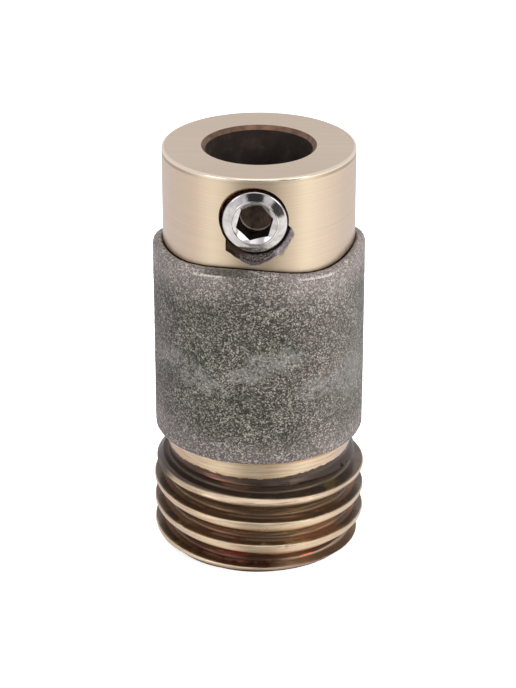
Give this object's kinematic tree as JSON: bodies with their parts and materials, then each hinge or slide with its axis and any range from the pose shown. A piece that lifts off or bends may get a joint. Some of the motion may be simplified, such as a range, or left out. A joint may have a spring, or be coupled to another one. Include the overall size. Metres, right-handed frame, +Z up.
{
  "type": "diamond grinding bit",
  "caption": "Cylindrical glass-grinding bit: a brass core with a shaft bore, a diamond-coated sleeve, a left-hand threaded foot and a set screw in its collar.",
  "frame": {"origin": "on the axis of the shaft bore, in the flat end face of the threaded foot", "axes": "+Z up along the bore's axis from the foot to the collar, and the set screw faces -Y"},
  "size_m": [0.0164, 0.0164, 0.0321],
  "materials": {
    "brass": "pale turned brass, finely brushed on the collar, tarnished dark brown with heat colours in the thread",
    "diamond_grit": "rough, fine diamond grit in a grey metal bond",
    "plated_steel": "bright plated steel"
  },
  "bodies": {
    "root": {"brass_core": "brass", "diamond_sleeve": "diamond_grit", "set_screw": "plated_steel"}
  },
  "joints": []
}
